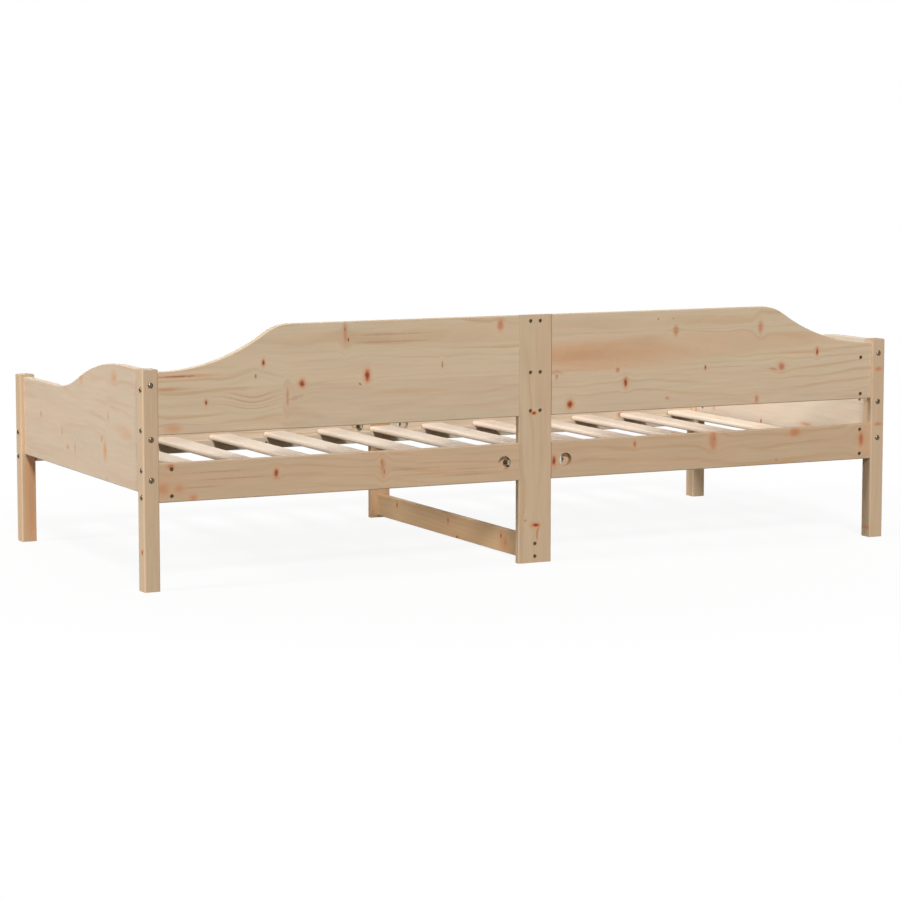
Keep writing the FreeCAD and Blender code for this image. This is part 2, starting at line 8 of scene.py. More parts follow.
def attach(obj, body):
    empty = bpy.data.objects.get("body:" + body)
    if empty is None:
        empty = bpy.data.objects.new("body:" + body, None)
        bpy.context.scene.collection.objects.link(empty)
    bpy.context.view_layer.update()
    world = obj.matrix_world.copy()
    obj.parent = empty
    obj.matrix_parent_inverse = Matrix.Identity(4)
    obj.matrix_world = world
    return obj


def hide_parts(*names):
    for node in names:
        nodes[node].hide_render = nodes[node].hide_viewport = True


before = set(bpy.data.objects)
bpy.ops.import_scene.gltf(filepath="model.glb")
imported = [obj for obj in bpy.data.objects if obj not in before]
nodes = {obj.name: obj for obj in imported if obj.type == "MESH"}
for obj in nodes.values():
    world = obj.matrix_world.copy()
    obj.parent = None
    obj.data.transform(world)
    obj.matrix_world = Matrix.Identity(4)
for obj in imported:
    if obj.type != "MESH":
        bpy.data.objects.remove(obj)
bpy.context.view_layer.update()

MM = 0.001
X, Y, Z = 0, 1, 2


# Node trees

class Tree:
    """Adds nodes to a tree, each with its inputs linked or set."""

    def __init__(self, tree):
        self.tree = tree

    def add(self, kind, inputs=(), **settings):
        node = self.tree.nodes.new(kind)
        for name, value in settings.items():
            setattr(node, name, value)
        self.fill(node, inputs if isinstance(inputs, dict) else dict(enumerate(inputs)))
        return node

    def fill(self, node, inputs):
        for key, value in inputs.items():
            if isinstance(value, bpy.types.NodeSocket):
                self.tree.links.new(value, node.inputs[key])
            elif value is not None:
                node.inputs[key].default_value = value

    def group(self, tree, inputs):
        return self.add("ShaderNodeGroup", inputs, node_tree=tree).outputs

    def math(self, operation, *values):
        return self.add("ShaderNodeMath", values, operation=operation).outputs[0]

    def spread(self, value, amount, middle=0.0):
        """A value from 0 to 1, turned into one that strays by half the amount from a middle."""
        return self.math("MULTIPLY_ADD", value, amount, middle - amount / 2)

    def vector(self, operation, *values):
        node = self.add("ShaderNodeVectorMath", values, operation=operation)
        return node.outputs["Value" if operation in ("LENGTH", "DOT_PRODUCT") else "Vector"]

    def scale(self, vector, factor):
        return self.vector("SCALE", vector, None, None, factor)

    def split(self, vector):
        return self.add("ShaderNodeSeparateXYZ", [vector]).outputs[0:3]

    def join(self, *values):
        return self.add("ShaderNodeCombineXYZ", values).outputs[0]

    def ramp(self, value, start, end, low=0.0, high=1.0):
        """A smooth step of a value, from low at start to high at end."""
        inputs = {"Value": value, "From Min": start, "From Max": end, "To Min": low, "To Max": high}
        return self.add("ShaderNodeMapRange", inputs, interpolation_type="SMOOTHSTEP").outputs[0]

    def noise(self, vector, scale, detail=2.0):
        """Noise with its own scale along each axis."""
        stretched = self.vector("MULTIPLY", vector, scale)
        inputs = {"Vector": stretched, "Scale": 1.0, "Detail": detail}
        return self.add("ShaderNodeTexNoise", inputs).outputs[0]

    def mix(self, factor, low, high, blend="MIX"):
        node = self.add("ShaderNodeMix", {0: factor, 6: low, 7: high}, data_type="RGBA", blend_type=blend)
        return node.outputs[2]

    def seen(self):
        """1 for the rays that show the background: the camera's, and those off metal or through glass."""
        ray = self.add("ShaderNodeLightPath").outputs
        mirrored = self.math("MAXIMUM", ray["Is Glossy Ray"], ray["Is Transmission Ray"])
        return self.math("MAXIMUM", ray["Is Camera Ray"], mirrored)


def new_group(name, inputs, outputs):
    tree = bpy.data.node_groups.new(name, "ShaderNodeTree")
    for key, kind in inputs.items():
        tree.interface.new_socket(key, in_out="INPUT", socket_type="NodeSocket" + kind)
    for key, kind in outputs.items():
        tree.interface.new_socket(key, in_out="OUTPUT", socket_type="NodeSocket" + kind)
    t = Tree(tree)
    return t, t.add("NodeGroupInput").outputs


def new_material(name):
    material = bpy.data.materials.new(name)
    material.use_nodes = True
    return material, Tree(material.node_tree), material.node_tree.nodes["Principled BSDF"]


def srgb(red, green, blue):
    """A colour as a screen shows it, 0 to 255, as the linear colour that shaders take."""
    def linear(value):
        value /= 255.0
        return value / 12.92 if value <= 0.04045 else ((value + 0.055) / 1.055) ** 2.4
    return (linear(red), linear(green), linear(blue), 1.0)


# Pine: a place in it is (along the grain, across the board, through the board), in metres

# Tints of the wood, colours of knots, the tint of end grain, and the pale and dark wood of the boards
PINKISH = srgb(255, 247, 240)
OLIVE = srgb(252, 253, 246)
KNOT_GLOW = srgb(210, 148, 102)
KNOT_RING = srgb(198, 106, 70)
KNOT_CORE = srgb(118, 54, 34)
END_GRAIN = srgb(182, 178, 170)
PALE = srgb(212, 192, 168)
DARK = srgb(184, 144, 100)
END_PALE = srgb(208, 191, 172)
FAR_PALE = srgb(215, 202, 188)
LOW_PALE = srgb(221, 196, 168)
STRETCHER_PALE = srgb(211, 178, 141)
# Partly paler wood, partly painted light: lighter pine for the front rails and ledgers, whose inner faces the
# back panel shades
INNER_LIGHTENED_PALE = srgb(216, 201, 184)
RAIL_PALE = srgb(203, 178, 151)
POST_PALE = srgb(207, 183, 157)
# Partly the leg's own warmer tone, partly painted shade: darker pine for the front middle leg, which the bed
# shades
SHADED_WARM_PALE = srgb(191, 158, 126)
SLAT_PALE = srgb(236, 220, 206)
SLAT_DARK = srgb(220, 194, 168)
BEECH_PALE = srgb(214, 184, 148)

# Where a knot's core, ring and glow start and where they are full, in shares of the knot's size
CORE_FADE = (0.75, 0.25)
RING_FADE = (1.15, 0.5)
GLOW_FADE = (2.1, 0.5)
# How far around a knot the grain turns aside, in shares of the knot's size, and how strongly
FLOW_REACH = (3.2, 2.2, 1.0)
FLOW_EDGE = 1.3
FLOW_STRENGTH = 0.8

# A year's ring in metres, and the shares of it in which the dark late wood comes and goes
RING = 0.0052
LATE_RISE = (0.50, 0.84)
LATE_FALL = (1.0, 0.86)
# The heart of a stave's log, as (spread, middle): beside the stave in staves, and behind it in metres
HEART_BESIDE = (0.9, 1.3)
HEART_BEHIND = (0.08, 0.16)
# The range of a log's taper, in metres per metre, and of the staves' places in the noise, in metres
TAPER = 0.020
STAVES_APART = 9.0
# How the rings wander: how often along, across and through the wood, in what detail, by how many metres
WANDERINGS = (((1.6, 3.0, 3.0), 1.0, 0.018),
              ((7.0, 22.0, 22.0), 1.0, 0.0040),
              ((25.0, 90.0, 90.0), 2.0, 0.0010))
# How often the wood's look changes along, across and through it, in times per metre
FIBRES = (28.0, 900.0, 900.0)
BANDS = (9.0, 150.0, 150.0)
CLOUDS = (5.0, 14.0, 14.0)
FLUSHES = (3.0, 20.0, 20.0)
FADINGS = (2.5, 18.0, 18.0)
KNOT_EDGES = (150.0, 150.0, 150.0)
# Where some of these noises start to act and where they are full, and the least that the late wood
# and the knots' colours keep where they don't act
FADING_STEP, FADED = (0.34, 0.66), 0.10
FLUSH_STEP = (0.3, 0.7)
PATCH_STEP, PATCHED = (0.3, 0.65), 0.55
# How much the tone and the hue change, the (spread, middle) of the staves' contrast, and how ragged knots are
STAVE_TONE, CLOUD_TONE, BAND_TONE, FIBRE_TONE = 0.06, 0.12, 0.18, 0.08
STAVE_HUE, FLUSH_HUE = 0.5, 0.5
STAVE_CONTRAST = (0.8, 0.8)
KNOT_RAGGED = 0.6
# How squarely a face has to cut the fibres to darken as end grain, and how far it then does
END_GRAIN_STEP, END_GRAIN_SHARE = (0.35, 0.95), 0.5
# The surface: its roughness, how late wood, fibres and knots change that, its relief and its shine
ROUGHNESS, LATE_ROUGH, FIBRE_ROUGH, CORE_SMOOTH = 0.70, -0.10, 0.16, 0.15
PINE_BUMP, PINE_BUMP_DEPTH, PINE_SHINE = 0.25, 0.0004, 0.2


def make_knot_group():
    """One knot: turns the grain aside around it, and adds its core, ring and glow to the marks."""
    t, given = new_group("pine_knot",
                         {"Place": "Vector", "Marks": "Vector", "Ragged": "Float", "Centre": "Vector",
                          "Reach": "Vector", "Amount": "Vector"},
                         {"Place": "Vector", "Marks": "Vector"})
    away = t.vector("SUBTRACT", given["Place"], given["Centre"])
    far = t.math("ADD", t.vector("LENGTH", t.vector("DIVIDE", away, given["Reach"])), given["Ragged"])
    marks = t.join(t.ramp(far, *CORE_FADE), t.ramp(far, *RING_FADE), t.ramp(far, *GLOW_FADE))
    marks = t.vector("MULTIPLY", marks, given["Amount"])
    flow_reach = t.vector("MULTIPLY", given["Reach"], FLOW_REACH)
    flow_far = t.vector("LENGTH", t.vector("DIVIDE", away, flow_reach))
    flow = t.ramp(flow_far, FLOW_EDGE, 0.0, high=FLOW_STRENGTH)
    turned = t.vector("MULTIPLY", away, t.join(0.0, flow, 0.0))
    t.add("NodeGroupOutput", {"Place": t.vector("SUBTRACT", given["Place"], turned),
                              "Marks": t.vector("MAXIMUM", given["Marks"], marks)})
    return t.tree


def make_grain_group():
    """Growth rings of glued staves, cut by the board's faces, with fibres, tones and end grain."""
    t, given = new_group("pine_grain",
                         {"Place": "Vector", "Marks": "Vector", "Grain": "Vector", "Seed": "Float",
                          "Stave": "Float", "Start": "Float", "Joints": "Vector", "Contrast": "Float",
                          "Pale": "Color", "Dark": "Color"},
                         {"Color": "Color", "Roughness": "Float", "Height": "Float"})
    along, across, through = t.split(given["Place"])

    # Which stave this is: its row across the board, and the side of its finger joint
    rise = t.math("SUBTRACT", across, given["Start"])
    row = t.math("FLOOR", t.math("DIVIDE", rise, given["Stave"]))
    low, middle, high = t.split(given["Joints"])
    joint = t.math("MULTIPLY_ADD", t.math("GREATER_THAN", row, 1.5), t.math("SUBTRACT", middle, low), low)
    joint = t.math("MULTIPLY_ADD", t.math("GREATER_THAN", row, 2.5), t.math("SUBTRACT", high, middle), joint)
    piece = t.math("GREATER_THAN", along, joint)
    chance = t.add("ShaderNodeTexWhiteNoise", {"Vector": t.join(row, given["Seed"], piece)}).outputs["Color"]
    one, two, three = t.split(chance)

    # Rings around the heart of the log that this stave was sawn from, which lies above or below it
    beside = t.math("MULTIPLY", t.math("SIGN", t.math("SUBTRACT", one, 0.5)), t.spread(two, *HEART_BESIDE))
    heart = t.math("MULTIPLY", t.math("ADD", t.math("ADD", row, 0.5), beside), given["Stave"])
    side = t.math("SUBTRACT", rise, heart)
    back = t.math("ADD", through, t.spread(three, *HEART_BEHIND))
    radius = t.math("SQRT", t.math("ADD", t.math("MULTIPLY", side, side), t.math("MULTIPLY", back, back)))
    shifted = t.vector("ADD", given["Place"], t.scale(chance, STAVES_APART))
    for scale, detail, sway in WANDERINGS:
        radius = t.math("ADD", radius, t.spread(t.noise(shifted, scale, detail), sway))
    radius = t.math("ADD", radius, t.math("MULTIPLY", along, t.spread(three, TAPER)))
    year = t.math("FRACT", t.math("DIVIDE", radius, RING))
    late = t.math("MULTIPLY", t.ramp(year, *LATE_RISE), t.ramp(year, *LATE_FALL))
    fading = t.ramp(t.noise(shifted, FADINGS, detail=1.0), *FADING_STEP, low=FADED)
    late = t.math("MULTIPLY", t.math("MULTIPLY", late, fading), t.spread(three, *STAVE_CONTRAST))

    # The colour: late wood, hue and tone, then the knots, then the ends of the fibres
    fibre = t.noise(shifted, FIBRES)
    band = t.noise(shifted, BANDS)
    cloud = t.noise(shifted, CLOUDS, detail=3.0)
    flush = t.ramp(t.noise(shifted, FLUSHES), *FLUSH_STEP)
    colour = t.mix(t.math("MULTIPLY", late, given["Contrast"]), given["Pale"], given["Dark"])
    hue = t.math("ADD", t.spread(one, STAVE_HUE, 0.5), t.spread(flush, FLUSH_HUE))
    colour = t.mix(1.0, colour, t.mix(hue, PINKISH, OLIVE), "MULTIPLY")
    tone = t.math("ADD", t.spread(two, STAVE_TONE, 1.0), t.spread(cloud, CLOUD_TONE))
    tone = t.math("ADD", tone, t.spread(band, BAND_TONE))
    colour = t.scale(colour, t.math("ADD", tone, t.spread(fibre, FIBRE_TONE)))
    core, ring, glow = t.split(given["Marks"])
    patchy = t.ramp(cloud, *PATCH_STEP, low=PATCHED)
    colour = t.mix(t.math("MULTIPLY", glow, patchy), colour, KNOT_GLOW)
    colour = t.mix(t.math("MULTIPLY", ring, patchy), colour, KNOT_RING)
    colour = t.mix(core, colour, KNOT_CORE)
    facing = t.vector("DOT_PRODUCT", t.add("ShaderNodeNewGeometry").outputs["Normal"], given["Grain"])
    cut = t.ramp(t.math("ABSOLUTE", facing), *END_GRAIN_STEP, high=END_GRAIN_SHARE)
    colour = t.mix(cut, colour, END_GRAIN, "MULTIPLY")

    rough = t.math("ADD", t.math("MULTIPLY_ADD", late, LATE_ROUGH, ROUGHNESS), t.spread(fibre, FIBRE_ROUGH))
    rough = t.math("SUBTRACT", rough, t.math("MULTIPLY", core, CORE_SMOOTH))
    height = t.math("MULTIPLY_ADD", late, 0.5, t.math("MULTIPLY", fibre, 0.5))
    t.add("NodeGroupOutput", {"Color": colour, "Roughness": rough, "Height": height})
    return t.tree


knot_group = make_knot_group()
grain_group = make_grain_group()

# Kinds of knot: how strong the core, the ring and the glow are; an eye only turns the grain aside
RED = (0.80, 0.85, 0.55)
SPIKE = (0.85, 0.60, 0.45)
BROWN = (0.65, 0.30, 0.15)
BLOTCH = (0.35, 0.60, 0.45)
FAINT = (0.12, 0.50, 0.40)
FLECK = (0.36, 0.0, 0.15)
SOFT = (0.16, 0.16, 0.30)
AMBER = (0.12, 0.12, 0.50)
STREAK = (0.58, 0.0, 0.65)
LATE = (0.22, 0.0, 0.12)
PATCH = (0.0, 0.06, 0.75)
BURL = (0.10, 0.25, 0.85)
TINGE = (0.0, 0.0, 0.30)
BLUSH = (0.08, 0.0, 0.52)
WARMTH = (0.0, 0.0, 0.15)
# Painted shade, not a knot: a darker, warmer glow for a post's rear face where the end panel shades it
PAINTED_SHADE = (0.13, 0.0, 0.72)
EYE = (0.0, 0.0, 0.0)
# A knot's reach through the board, in metres: so far that every knot goes right through
THROUGH = 100.0

# Where the finger joints of a board's low, middle and high staves are; beyond its end there is none
BEYOND = -9.0
NO_JOINT = (BEYOND, BEYOND, BEYOND)
BACK_JOINTS = (0.682, BEYOND, BEYOND)


def pine(name, grain, across, seed, stave, start, knots=(), joints=NO_JOINT, contrast=0.48,
         pale=PALE, dark=DARK):
    """A pine material. The staves' width, start and joints are in metres.

    A knot is (along, across, half length, half width, kind), in millimetres.
    """
    material, t, shader = new_material(name)
    place = t.split(t.add("ShaderNodeTexCoord").outputs["Object"])
    place = t.join(place[grain], place[across], place[X + Y + Z - grain - across])
    marks = None
    ragged = t.spread(t.noise(place, KNOT_EDGES), KNOT_RAGGED) if knots else None
    for along, over, half_length, half_width, kind in knots:
        knot = t.group(knot_group, {"Place": place, "Marks": marks, "Ragged": ragged, "Amount": kind,
                                    "Centre": (along * MM, over * MM, 0.0),
                                    "Reach": (half_length * MM, half_width * MM, THROUGH)})
        place, marks = knot["Place"], knot["Marks"]
    axis = [0.0, 0.0, 0.0]
    axis[grain] = 1.0
    wood = t.group(grain_group, {"Place": place, "Marks": marks, "Grain": axis, "Seed": float(seed),
                                 "Stave": stave, "Start": start, "Joints": joints, "Contrast": contrast,
                                 "Pale": pale, "Dark": dark})
    bump = t.add("ShaderNodeBump", {"Height": wood["Height"], "Strength": PINE_BUMP,
                                    "Distance": PINE_BUMP_DEPTH})
    t.fill(shader, {"Base Color": wood["Color"], "Roughness": wood["Roughness"], "Normal": bump.outputs[0],
                    "Specular IOR Level": PINE_SHINE})
    return material


def dress(node, material):
    mesh = nodes[node].data
    mesh.materials.clear()
    mesh.materials.append(material)


# Knots that the photograph shows, board by board
# The order in a list counts: a knot turns aside those that follow it, as it does the grain
BACK_RIGHT = [(661, 440, 10, 4, LATE), (654, 441.5, 10, 4, LATE), (647, 443, 10, 4, LATE),
              (640, 444.5, 10, 4, LATE), (633, 446, 10, 4, LATE), (732, 531, 5, 10, SPIKE),
              (752, 500, 4, 8, BROWN), (879, 442, 5, 10, SPIKE), (632, 477, 9, 11, RED),
              (670, 446, 4, 26, FAINT), (519, 603, 3, 8, BROWN), (510, 578, 3, 8, SPIKE),
              (518, 593, 6, 26, FAINT), (460, 490, 9, 18, RED), (479, 474, 5, 4, BROWN),
              (258, 508, 3, 13, BROWN), (98, 600, 9, 16, FAINT), (952, 507, 80, 3.2, STREAK),
              (975, 477, 34, 3.5, AMBER), (962, 385, 17, 8, PATCH), (656, 383, 26, 4, TINGE),
              (715, 398, 28, 5, TINGE), (229, 381, 8, 6, TINGE), (540, 463, 50, 3, TINGE),
              (350, 446, 100, 4, TINGE), (397, 588, 190, 4, LATE), (385, 570, 200, 3.5, LATE),
              (330, 582, 260, 18, WARMTH), (757, 476, 24, 30, EYE), (757, 466, 110, 3.5, LATE),
              (770, 456, 140, 3.5, LATE), (770, 437, 160, 3.5, LATE)]
BACK_LEFT = [(-98, 394, 10, 12, RED), (-258, 443, 7, 15, RED), (-235, 476, 6, 7, FAINT),
             (-404, 570, 8, 17, FAINT), (-352, 600, 3, 5, BROWN), (-396, 594, 3, 4, BROWN),
             (-492, 471, 4, 8, SPIKE), (-657, 569, 8, 19, FAINT), (-603, 531, 16, 18, TINGE),
             (-831, 499, 5, 12, SPIKE), (-795, 500, 62, 3, TINGE), (-722, 464, 12, 13, BLOTCH),
             (-696, 461, 16, 3, FAINT), (-647, 384, 6, 11, FAINT), (-60, 466, 4, 9, FAINT),
             (-58, 474, 24, 3, FAINT), (-328, 550, 34, 6, TINGE), (-380, 397, 6, 5, FAINT),
             (-190, 516, 240, 27, BLUSH), (-560, 532, 230, 16, TINGE), (-330, 590, 250, 16, WARMTH)]
REAR_RAIL_RIGHT = [(969, 294, 10, 8, BLOTCH), (701, 265, 8, 14, RED), (422, 275, 3, 11, BLOTCH),
                   (415, 254, 3, 11, BLOTCH), (419, 265, 7, 22, SOFT), (913, 218, 9, 7, BURL),
                   (949, 242, 15, 11, AMBER), (990, 243, 16, 15, AMBER), (981, 274, 14, 8, TINGE),
                   (855, 277, 130, 3, LATE), (815, 259, 220, 3, LATE), (888, 242, 80, 3, LATE),
                   (330, 256, 130, 3, LATE), (190, 248, 130, 3, LATE), (310, 241, 120, 3, LATE),
                   (195, 234, 110, 3, LATE)]
REAR_RAIL_LEFT = [(-53, 254, 7, 15, RED), (-286, 285, 5, 10, BLOTCH), (-520, 287, 4, 14, BLOTCH),
                  (-517, 283, 14, 24, FAINT), (-766, 292, 18, 12, FAINT), (-972, 263, 10, 22, BLOTCH),
                  (-985, 255, 24, 28, TINGE), (-709, 221, 7, 5, FLECK)]
REAR_LEG = [(377, 4, 5, 9, RED), (95, -3, 6, 13, RED), (74, -6, 20, 3, FAINT), (108, 27, 6, 8, FLECK)]
STRETCHER = [(-319, 50, 5, 9, RED), (-4, 47, 4, 11, RED), (50, 10, 6, 5, RED), (302, 46, 6, 10, SPIKE),
             (326, 32, 4, 10, BLOTCH), (318, 30, 20, 12, PATCH)]
END_RIGHT = [(252, 490, 18, 13, AMBER), (13, 469, 8, 13, PATCH), (181, 307, 9, 17, PATCH),
             (160, 330, 7, 9, AMBER), (323, 361, 30, 12, TINGE), (-137, 325, 5, 19, FLECK),
             (-93, 286, 12, 7, SOFT), (-39, 289, 4, 28, FLECK), (-300, 350, 9, 14, FLECK),
             (206, 393, 5, 22, FLECK), (193, 240, 4, 10, FLECK)]
REAR_POST_RIGHT = [(94, 461, 8, 7, SPIKE)]
REAR_POST_LEFT = [(25, -994, 8, 7, RED), (447, -1021, 6, 12, FAINT), (301, -1022, 5, 12, FAINT)]
# The band along the rear face below the end panel is painted shade, not a knot
FRONT_POST_RIGHT = [(120, 1013, 170, 15, PAINTED_SHADE)]
# Knots of the boards and faces that it doesn't show, or shows only in part
END_LEFT = [(-338, 269, 8, 7, SOFT), (-85, 255, 5, 9, RED), (145, 269, 30, 6, FAINT),
            (260, 410, 8, 11, FAINT), (-20, 380, 7, 9, RED), (-250, 330, 6, 8, BROWN)]
FRONT_POST_LEFT = [(180, -1024, 6, 7, RED)]
FRONT_RAIL_RIGHT = [(610, 270, 8, 10, RED), (250, 240, 6, 7, BROWN)]
FRONT_RAIL_LEFT = [(-300, 230, 7, 9, RED), (-760, 250, 9, 8, FAINT)]
FRONT_LEG = [(120, 8, 8, 6, RED)]
SLATS = [(120, 318, 6, 7, RED), (-240, -170, 7, 8, FAINT), (60, -640, 6, 6, RED)]

# Staves: the panels are glued up from several, the middle legs from two; every other board is a single one
BACK_STAVE, BACK_START = 0.084, 0.308
END_STAVE, END_START = 0.098, 0.231
RAIL_STAVE, RAIL_START = 0.093, 0.210
POST_STAVE, POST_INNER, REAR_POST_INNER = 0.040, 1.000, 0.435
LEFT_POST_START = -POST_INNER - POST_STAVE
LEG_STAVE = 0.046
STRETCHER_STAVE, STRETCHER_START = 0.060, 0.006
LEDGER_STAVE, LEDGER_START = 0.028, 0.214
SLAT_STAVE = 0.1585
SLAT_START = -SLAT_STAVE / 2

dress("back_panel_right", pine("pine_back_right", X, Z, 11, BACK_STAVE, BACK_START, BACK_RIGHT, BACK_JOINTS))
dress("back_panel_left", pine("pine_back_left", X, Z, 33, BACK_STAVE, BACK_START, BACK_LEFT, contrast=0.40))
dress("rear_rail_right", pine("pine_rear_rail_right", X, Z, 13, RAIL_STAVE, RAIL_START, REAR_RAIL_RIGHT,
                              contrast=0.65, pale=RAIL_PALE))
dress("rear_rail_left", pine("pine_rear_rail_left", X, Z, 14, RAIL_STAVE, RAIL_START, REAR_RAIL_LEFT,
                             contrast=0.42, pale=RAIL_PALE))
dress("rear_middle_leg", pine("pine_rear_leg", Z, X, 15, LEG_STAVE, -LEG_STAVE, REAR_LEG,
                              contrast=0.35, pale=POST_PALE))
dress("centre_stretcher", pine("pine_stretcher", Y, Z, 16, STRETCHER_STAVE, STRETCHER_START, STRETCHER,
                               contrast=0.38, pale=STRETCHER_PALE))
dress("end_panel_right", pine("pine_end_right", Y, Z, 17, END_STAVE, END_START, END_RIGHT,
                              contrast=0.25, pale=END_PALE))
dress("end_panel_left", pine("pine_end_left", Y, Z, 18, END_STAVE, END_START, END_LEFT,
                             contrast=0.25, pale=FAR_PALE))
dress("rear_post_right", pine("pine_rear_post_right", Z, Y, 19, POST_STAVE, REAR_POST_INNER, REAR_POST_RIGHT,
                              contrast=0.25, pale=POST_PALE))
dress("rear_post_left", pine("pine_rear_post_left", Z, X, 20, POST_STAVE, LEFT_POST_START, REAR_POST_LEFT,
                             contrast=0.25, pale=POST_PALE))
dress("front_post_right", pine("pine_front_post_right", Z, X, 21, POST_STAVE, POST_INNER, FRONT_POST_RIGHT,
                               contrast=0.15, pale=RAIL_PALE))
dress("front_post_left", pine("pine_front_post_left", Z, X, 22, POST_STAVE, LEFT_POST_START, FRONT_POST_LEFT,
                              contrast=0.25, pale=LOW_PALE))
# The front rails' lighter pine is partly painted light on faces that the back panel shades
dress("front_rail_right", pine("pine_front_rail_right", X, Z, 23, RAIL_STAVE, RAIL_START, FRONT_RAIL_RIGHT,
                               pale=INNER_LIGHTENED_PALE))
dress("front_rail_left", pine("pine_front_rail_left", X, Z, 24, RAIL_STAVE, RAIL_START, FRONT_RAIL_LEFT,
                              pale=INNER_LIGHTENED_PALE))
# The front middle leg's darker pine is partly painted shade from the bed above it
dress("front_middle_leg", pine("pine_front_leg", Z, X, 25, LEG_STAVE, -LEG_STAVE, FRONT_LEG,
                               contrast=0.35, pale=SHADED_WARM_PALE))
# The ledgers' lighter pine is partly painted light on faces that the back panel and slats shade
ledger_pine = pine("pine_ledger", X, Z, 26, LEDGER_STAVE, LEDGER_START, contrast=0.3, pale=INNER_LIGHTENED_PALE)
for face in ("front", "rear"):
    for end in ("left", "right"):
        dress("%s_ledger_%s" % (face, end), ledger_pine)
slat_pine = pine("pine_slat", Y, X, 27, SLAT_STAVE, SLAT_START, SLATS,
                 contrast=0.35, pale=SLAT_PALE, dark=SLAT_DARK)
dress("rail_dowels", pine("beech_dowel", X, Z, 28, RAIL_STAVE, RAIL_START, pale=BEECH_PALE))


# Steel

# How often its grit and stains change, in times per metre, and where a stain starts and is full
GRIT = (900.0, 900.0, 900.0)
STAINS = (160.0, 160.0, 160.0)
STAIN_STEP = (0.35, 0.7)
STEEL_BUMP, STEEL_BUMP_DEPTH = 0.2, 0.0001
GRIT_ROUGH = 0.24


def steel(name, colour, stained, roughness, bare=1.0):
    """Steel, bare or with a dull coat: 1 is all metal, and less than 1 scatters light as well."""
    material, t, shader = new_material(name)
    place = t.add("ShaderNodeTexCoord").outputs["Object"]
    grit = t.noise(place, GRIT, detail=3.0)
    stain = t.ramp(t.noise(place, STAINS, detail=3.0), *STAIN_STEP)
    bump = t.add("ShaderNodeBump", {"Height": grit, "Strength": STEEL_BUMP, "Distance": STEEL_BUMP_DEPTH})
    t.fill(shader, {"Base Color": t.mix(stain, srgb(*colour), srgb(*stained)), "Metallic": bare,
                    "Roughness": t.spread(grit, GRIT_ROUGH, roughness), "Normal": bump.outputs[0]})
    return material


# Darker and browner than bright zinc: painted dark reflections on the heads, shanks and nuts
zinc = steel("zinc_steel", (108, 96, 78), (88, 76, 58), roughness=0.28)
pale_zinc = steel("pale_zinc_steel", (228, 230, 214), (204, 203, 186), roughness=0.45, bare=0.3)
nut_steel = steel("barrel_nut_steel", (104, 90, 72), (76, 64, 50), roughness=0.42)


# Fine pieces in the stead of CAD nodes
# The metal ones are modelled in millimetres along +X from their outer end

TOUCHING = 0.001 * MM
FINE_SIDES, SCREW_SIDES, ROD_SIDES = 36, 32, 24
SHARP_ANGLE = math.radians(32)
# Where a slot's box starts, a little outside the outer end
CUT_START = -1.0


def solids(node):
    """The lowest and highest corner of each separate solid of a CAD node, in millimetres."""
    shape = bmesh.new()
    shape.from_mesh(nodes[node].data)
    bmesh.ops.remove_doubles(shape, verts=shape.verts, dist=TOUCHING)
    boxes = []
    done = set()
    for first in shape.verts:
        if first in done:
            continue
        done.add(first)
        island = [first]
        for vert in island:
            for edge in vert.link_edges:
                other = edge.other_vert(vert)
                if other not in done:
                    done.add(other)
                    island.append(other)
        places = [vert.co / MM for vert in island]
        boxes.append((Vector([min(place[axis] for place in places) for axis in (X, Y, Z)]),
                      Vector([max(place[axis] for place in places) for axis in (X, Y, Z)])))
    shape.free()
    return boxes


def fasteners(node, axis, inward=lambda middle: False):
    """Where each fastener of a CAD node has its outer end, and which way it points from there.

    Called with a fastener's middle, inward says whether that end looks to the middle of the frame.
    """
    found = []
    for low, high in solids(node):
        middle = (low + high) / 2
        outward = math.copysign(1.0, middle[axis])
        if inward(middle):
            outward = -outward
        direction = Vector((0.0, 0.0, 0.0))
        direction[axis] = -outward
        found.append((middle - direction * (high[axis] - low[axis]) / 2, direction))
    return found


def length_along(node, axis):
    low, high = solids(node)[0]
    return high[axis] - low[axis]


def lathe(profile, sides, hexagon=()):
    """A mesh turned about X from (along, radius) points; the rings named in hexagon are six-sided."""
    half_side = math.pi / 6
    shape = bmesh.new()
    rings = []
    for index, (along, radius) in enumerate(profile):
        if radius == 0:
            rings.append([shape.verts.new((along, 0, 0))])
            continue
        ring = []
        for step in range(sides):
            turn = 2 * math.pi * step / sides
            reach = radius
            if index in hexagon:
                reach = radius / math.cos((turn + half_side) % (2 * half_side) - half_side)
            ring.append(shape.verts.new((along, reach * math.cos(turn), reach * math.sin(turn))))
        rings.append(ring)
    for one, two in zip(rings, rings[1:]):
        for step in range(sides):
            follow = (step + 1) % sides
            corners = [one[step % len(one)], one[follow % len(one)],
                       two[follow % len(two)], two[step % len(two)]]
            shape.faces.new(list(dict.fromkeys(corners)))
    return finished(shape)


def finished(shape):
    bmesh.ops.recalc_face_normals(shape, faces=shape.faces)
    mesh = bpy.data.meshes.new("blank")
    shape.to_mesh(mesh)
    shape.free()
    return mesh


